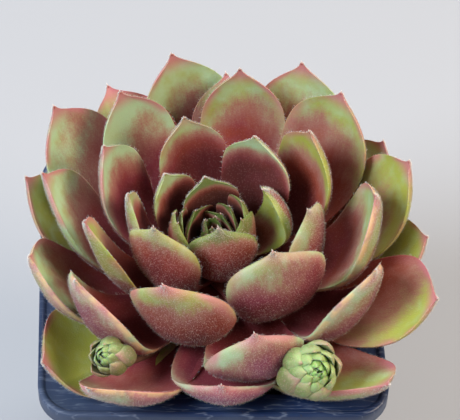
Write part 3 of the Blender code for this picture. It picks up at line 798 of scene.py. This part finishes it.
for node, sizes in OFFSETS.items():
    up = head_axis(sizes["lean"], sizes["toward"])
    beside = head_axis(90, sizes["toward"] + 90)
    turn_to = np.array((np.cross(beside, up), beside, up))
    place = np.array(sizes["foot"]) + (0, 0, RIM_TOP)
    leaf, count = sizes["leaf"], sizes["count"]
    skins, all_marks = [], []
    for number in range(-OFFSET_BUD_LEAVES, count):
        age = max(number, 0) / (count - 1)
        turn = number * GOLDEN_ANGLE
        opening = age * np.cos(np.radians(turn - sizes["opens"]))
        opening *= OPEN_SIDE if opening > 0 else CLOSED_SIDE
        reach = leaf * (YOUNG_REACH + REACH_BY_AGE * age + REACH_BY_OPENING * opening)
        rise = leaf * (1.0 - FALL_BY_AGE * age**2) + min(number, 0)
        width = leaf * (YOUNG_WIDTH + WIDTH_BY_AGE * age)
        tip_slope = CLOSED_SLOPE - SLOPE_BY_OPENING * opening
        blush = sizes["blush"] + BLUSH_BY_AGE * age**2
        row = (turn, reach, rise, width, tip_slope, 0, 0, 0, blush, blush, draw.uniform(0.2, 0.7))
        root = (YOUNG_ROOT_REACH * leaf, YOUNG_ROOT_RISE * leaf * (1 - age))
        root_slope = YOUNG_ROOT_SLOPE * (1 - age)
        outlines = (OFFSET_OUTLINE, OFFSET_OUTLINE)
        points, marks = leaf_skin(row, root, root_slope, OFFSET_ROWS, OFFSET_ACROSS, outlines, OFFSET_FLESH)
        skins.append(points @ turn_to + place)
        marks["age"] = np.full(points.shape[:2], OFFSET_AGE * age)
        marks["flush"] = OFFSET_FLUSH * marks["flush"] + blush - OFFSET_GROUND
        all_marks.append(marks)
    skins, marks = np.array(skins), joined_marks(all_marks)
    mesh_piece(node + "_leaves", *closed_skins(skins), young_skin_material, "young_leaves", node, **marks)
    mesh_piece(node + "_margin_hairs", *margin_hairs(skins, 90, 0.4, 0.04), hair, "young_leaves")
    mesh_piece(node + "_belly_hairs", *belly_hairs(skins, 120, 0.2, 0.03), hair, "young_leaves")
    stem_length = OFFSET_STEM_HEIGHT * leaf + OFFSET_STEM
    shares = np.linspace(0, 1, OFFSET_STEM_RINGS)[:, None]
    stem_path = up * stem_length * shares - up * OFFSET_STEM + place
    radii = np.linspace(OFFSET_STEM_FOOT, OFFSET_STEM_TIP, OFFSET_STEM_RINGS) * leaf
    mesh_piece(node + "_stem", *tubes(tube(stem_path, radii, beside)[None]), bark, "young_leaves")

# Pot: square nursery pot, injection-moulded in one piece of thin slate-blue polypropylene. A flat shelf with
# a raised lip and a short skirt outside makes its rim, and four round holes drain its base.
RIM_SIDE, RIM_CORNER, RIM_SKEW = 90.0, 10.0, 0.05
SHELF_WIDTH, SHELF_CORNER, SHELF_DROP, SHELF_ROUND = 7.0, 12.0, 0.6, 0.5
SKIRT_DEPTH, SKIRT_BREAK = 5.0, 0.15
BASE_SIDE, BASE_CORNER, WALL = 66.0, 6.5, 1.1
EDGE_BREAK, FLOOR_BREAK = 0.4, 0.5
DRAIN_RADIUS, DRAIN_PLACE, DRAIN_SIDES, DRILL_DEPTH = 4.0, 19.0, 48, 6.0
SHARP_ANGLE = 50
CORNER_STEPS, SIDE_STEPS, WALL_STEPS = 20, 24, 12
# Pairs of inset and height above the shelf across the rounded lip, then insets of the shelf inside it
LIP_PROFILE = (
    (0, 0), (0.08, 0.24), (0.25, 0.44), (0.6, 0.56), (0.9, 0.6), (1.2, 0.56), (1.6, 0.4), (1.85, 0.14),
    (2.2, 0),
)
SHELF_INSETS = (3.2, 4.5, 5.8, 6.8)
# Sink marks of the moulding: waves on the shelf, their radians to the millimetre, height and depth
SINK_WAVES, SINK_PITCH, SINK_HEIGHT, SINK_DEPTH = 6, 0.35, 0.03, 0.08


def rounded_square(half, corner):
    """Points round a square with arcs at its corners, evenly spaced along its straight sides."""
    points = []
    for quarter in range(4):
        middle = np.radians(45 + 90 * quarter)
        x = np.sign(np.cos(middle)) * (half - corner)
        y = np.sign(np.sin(middle)) * (half - corner)
        turns = np.radians(np.linspace(0, 90, CORNER_STEPS + 1) + 90 * quarter)
        arc = np.column_stack([x + corner * np.cos(turns), y + corner * np.sin(turns)])
        after = (np.cos(turns[-1]), np.sin(turns[-1]))
        run = np.array((-after[1], after[0])) * 2 * (half - corner)
        shares = np.linspace(0, 1, SIDE_STEPS + 1)[1:-1, None]
        points += [arc, arc[-1] + run * shares]
    return np.concatenate(points)


def wall_at(height, inset):
    """Outline of the tapered wall's outside at a height, moved in by an inset.

    At the top the wall's inside stands SHELF_ROUND inside the shelf's edge, to leave room for its rounding.
    """
    share = height / RIM_TOP
    half = BASE_SIDE / 2 + (RIM_SIDE / 2 - SHELF_WIDTH + WALL - SHELF_ROUND - BASE_SIDE / 2) * share - inset
    corner = BASE_CORNER + (SHELF_CORNER + WALL - SHELF_ROUND - BASE_CORNER) * share - inset
    return rounded_square(half, corner)


def rim_at(inset):
    """Outline of the rim's outer edge, moved in by an inset."""
    return rounded_square(RIM_SIDE / 2 - inset, RIM_CORNER - inset)


def shelf_at(inset):
    """Outline on the shelf, whose corners grow rounder inwards."""
    corner = RIM_CORNER + (SHELF_CORNER - RIM_CORNER) * inset / SHELF_WIDTH
    return rounded_square(RIM_SIDE / 2 - inset, corner)


def ring_at(outline, height):
    """An outline as a ring of points at one height."""
    return np.column_stack([outline, np.full(len(outline), height)])


def loft(levels):
    """Rings of (outline, height) pairs, out of square as the pot is.

    The photographed rim is a little askew: x goes back by skew * y * z / height of the pot.
    """
    rings = np.array([ring_at(outline, height) for outline, height in levels])
    rings[..., 0] -= RIM_SKEW * rings[..., 1] * rings[..., 2] / RIM_TOP
    return rings


def pot_material():
    """Moulded polypropylene: satin, faintly grained by the mould, with dust, water marks and thin pale
    lines.

    The thin pale lines are where a noise stretched across the shelf crosses its middle value.
    """
    material, shader, add = new_material("moulded polypropylene, slate blue")
    place = add("TexCoord", output="Object")
    stretched = add("Mapping", {"Vector": place, "Rotation": (0, 0, 0.05), "Scale": (1, 9, 1)})
    clouds, streaks, grit, relief = (
        add("TexNoise", {"Vector": vector, "Scale": 1 / (size * MM), "Detail": detail})
        for vector, size, detail in ((place, 22, 3), (stretched, 20, 3), (place, 0.9, 1), (place, 0.5, 2)))
    dust = faded(add, 1.0, (clouds, 0.35, 0.75, 0.5))
    color = tinted(add, "182b4e", "536178", dust)
    pale_line = add("Math", (add("Math", (streaks, 0.5), operation="SUBTRACT"),), operation="ABSOLUTE")
    height = add("SeparateXYZ", (place,), "Z")
    on_shelf = (height, (RIM_TOP - 2) * MM, (RIM_TOP - 1) * MM, 0.24)
    # Thin pale wavy lines across the shelf.
    color = tinted(add, color, "9aa6b8", 1.0, (pale_line, 0.02, 0.002, 1.0), on_shelf)
    color = tinted(add, color, "3b2f28", 1.0, (grit, 0.72, 0.78, 0.5))
    bump = add("Bump", {"Height": relief, "Strength": 0.25, "Distance": 0.05 * MM})
    rough = add("Math", (dust, 0.5, 0.3), operation="MULTIPLY_ADD")
    feed(shader, {"Base Color": color, "Normal": bump, "Roughness": rough})
    return material


shelf = RIM_TOP - SHELF_DROP
under = shelf - WALL
skirt_foot = RIM_TOP - SKIRT_DEPTH
outside_heights = np.linspace(EDGE_BREAK, under, WALL_STEPS)
inside_heights = np.linspace(under - 1, WALL + FLOOR_BREAK, WALL_STEPS)
pot_rings = loft([
    (wall_at(0, EDGE_BREAK), 0),
    (wall_at(0.12, 0.12), 0.12),
    *((wall_at(height, 0), height) for height in outside_heights),
    (rim_at(WALL), under),
    (rim_at(WALL), skirt_foot + SKIRT_BREAK),
    (rim_at(WALL - SKIRT_BREAK), skirt_foot),
    (rim_at(SKIRT_BREAK), skirt_foot),
    (rim_at(0), skirt_foot + SKIRT_BREAK),
    *((rim_at(inset), shelf + height) for inset, height in LIP_PROFILE),
    *((shelf_at(inset), shelf) for inset in SHELF_INSETS),
    (shelf_at(SHELF_WIDTH), shelf - 0.06),
    (rounded_square(RIM_SIDE / 2 - SHELF_WIDTH - 0.35, SHELF_CORNER - 0.35), shelf - 0.35),
    *((wall_at(height, WALL), height) for height in inside_heights),
    (wall_at(WALL + 0.15, WALL + 0.15), WALL + 0.15),
    (wall_at(WALL, WALL + FLOOR_BREAK), WALL),
])
# The third draw of each wave is its phase, and nine times as wide
waves = draw.uniform(-SINK_PITCH, SINK_PITCH, (SINK_WAVES, 3)) * (1, 1, 9)
sinks = sum(np.cos(pot_rings[..., 0] * a + pot_rings[..., 1] * b + phase) for a, b, phase in waves)
from_middle = np.abs(pot_rings[..., :2]).max(axis=-1)
on_shelf = (pot_rings[..., 2] > shelf - 0.01) & (from_middle < RIM_SIDE / 2 - 0.7)
pot_rings[..., 2] += np.where(on_shelf, SINK_HEIGHT * sinks - SINK_DEPTH, 0)
pot = mesh_piece("pot_shell", *tubes(pot_rings[None]), pot_material(), "pot", "pot")
for x, y in ((-1, -1), (-1, 1), (1, -1), (1, 1)):
    bpy.ops.mesh.primitive_cylinder_add(
        vertices=DRAIN_SIDES, radius=DRAIN_RADIUS * MM, depth=DRILL_DEPTH * MM,
        location=(x * DRAIN_PLACE * MM, y * DRAIN_PLACE * MM, 0))
    cut = pot.modifiers.new("drain hole", "BOOLEAN")
    cut.object = bpy.context.object
drilled = bpy.data.meshes.new_from_object(pot.evaluated_get(bpy.context.evaluated_depsgraph_get()))
for cut in list(pot.modifiers):
    bpy.data.objects.remove(cut.object, do_unlink=True)
pot.modifiers.clear()
pot.data = drilled
drilled.set_sharp_from_angle(angle=np.radians(SHARP_ANGLE))

# Soil: peat potting mix that fills the pot to below its rim, with a plain hole in which the stem stands. Its
# top is crumbly, and bits of bark and grit lie on it.
SOIL_DROP = 8.0
SOIL_RINGS = 70
CRUMB_SIZES = ((9, 0.5), (3.5, 0.35), (1.6, 0.2))
CRUMB_WAVES = 14
MOST_CRUMB, CRUMB_FADE = 0.9, 12
HOLE_DEPTHS = (12, 4)
SOIL_SIDE_RINGS = 8
GRAINS = 1500


def crumbs(x, y):
    """Bumpy relief of the soil.

    For each size it is the sum of cosine waves about that long in random directions, times the height over
    the root of their number.
    """
    relief = np.zeros_like(x)
    for size, height in CRUMB_SIZES:
        ways, phases = draw.uniform(0, 2 * np.pi, (2, CRUMB_WAVES))
        lengths = size * draw.uniform(0.7, 1.4, CRUMB_WAVES)
        for way, phase, length in zip(ways, phases, lengths):
            along = x * np.cos(way) + y * np.sin(way)
            relief += height / CRUMB_WAVES**0.5 * np.cos(2 * np.pi * along / length + phase)
    return relief


def soil_material():
    """Damp peat: dark brown, rough, mottled with paler fibre and grit."""
    material, shader, add = new_material("peat and grit potting soil")
    place = add("TexCoord", output="Object")
    patches, fibre, relief = (
        add("TexNoise", {"Vector": place, "Scale": 1 / (size * MM), "Detail": detail})
        for size, detail in ((3.0, 4.0), (0.8, 2.0), (0.8, 4.0)))
    color = tinted(add, "1d1511", "3d2d22", patches)
    color = tinted(add, color, "6b5643", 1.0, (fibre, 0.6, 0.75, 0.6))
    bump = add("Bump", {"Height": relief, "Strength": 0.9, "Distance": 0.5 * MM})
    feed(shader, {"Base Color": color, "Normal": bump, "Roughness": 0.95})
    return material


def icosahedron():
    """Corners on the unit sphere and outward triangles of the regular solid with twenty sides.

    The corners are (0, 1, golden) and its two cyclic turns with every choice of signs. Each triangle joins
    three corners that are all nearest neighbours.
    """
    golden = (1 + 5**0.5) / 2
    signs = [(a, b) for a in (-1, 1) for b in (-1, 1)]
    corners = [(0, a, b * golden) for a, b in signs]
    corners += [(a, b * golden, 0) for a, b in signs]
    corners += [(b * golden, 0, a) for a, b in signs]
    corners = unit(np.array(corners))
    near = np.linalg.norm(corners[:, None] - corners, axis=2) < 1.1
    triples = np.argwhere(near[:, :, None] & near[None] & near[:, None])
    faces = triples[(np.diff(triples, axis=1) > 0).all(axis=1)]
    first, second, third = corners[faces].swapaxes(0, 1)
    inward = (np.cross(second - first, third - first) * first).sum(axis=1) < 0
    faces[inward] = faces[inward][:, (0, 2, 1)]
    return corners, faces


level = RIM_TOP - SOIL_DROP
wall = loft([(wall_at(level, WALL + GAP), level)])[0, :, :2]
around = np.arctan2(wall[:, 1], wall[:, 0])
hole = np.column_stack([np.cos(around), np.sin(around)]) * (STEM_RADIUS + 2 * GAP) + (FOOT_X, 0)
shares = np.linspace(0, 1, SOIL_RINGS)[:, None, None]
soil_top = hole + (wall - hole) * shares
bumps = np.clip(crumbs(soil_top[..., 0], soil_top[..., 1]), -MOST_CRUMB, MOST_CRUMB)
# Crumbs fade out over the last twelfth towards the stem's hole and towards the pot's wall
bumps *= np.minimum(1, CRUMB_FADE * shares[..., 0]) * np.minimum(1, CRUMB_FADE * (1 - shares[..., 0]))
soil_top = np.concatenate([soil_top, (level + bumps)[..., None]], axis=-1)
hole_heights = [RIM_TOP + STEM_FOOT - GAP] + [level - depth for depth in HOLE_DEPTHS]
stem_hole = np.array([ring_at(hole, height) for height in hole_heights])
side_heights = np.linspace(level - 1, WALL + FLOOR_BREAK + GAP, SOIL_SIDE_RINGS)
soil_sides = loft([
    *((wall_at(height, WALL + GAP), height) for height in side_heights),
    (wall_at(WALL + GAP, WALL + FLOOR_BREAK + GAP), WALL + GAP),
])
soil_rings = np.concatenate([stem_hole, soil_top, soil_sides])
potting_soil = soil_material()
mesh_piece("soil_body", *closed_skins(soil_rings[None]), potting_soil, "soil", "soil")

rows_at = draw.uniform(4, SOIL_RINGS - 3, GRAINS)
around_at = draw.uniform(0, len(hole), GRAINS)
seats = read_skin(soil_top[None], np.zeros(GRAINS, int), rows_at, around_at)
corners, sides = icosahedron()
spins = np.linalg.qr(draw.normal(size=(GRAINS, 3, 3)))[0]
spins *= np.sign(np.linalg.det(spins))[:, None, None]
grain_sizes = draw.uniform(0.3, 1.0, (GRAINS, 1, 1)) * draw.uniform(0.5, 1.2, (GRAINS, 1, 3))
dents = draw.uniform(0.8, 1.1, (GRAINS, len(corners), 1))
grains = (corners * grain_sizes * dents) @ spins + seats[:, None]
grain_faces = (sides + np.arange(GRAINS)[:, None, None] * len(corners)).reshape(-1, 3)
mesh_piece("soil_grit", grains.reshape(-1, 3), grain_faces, potting_soil, "soil")
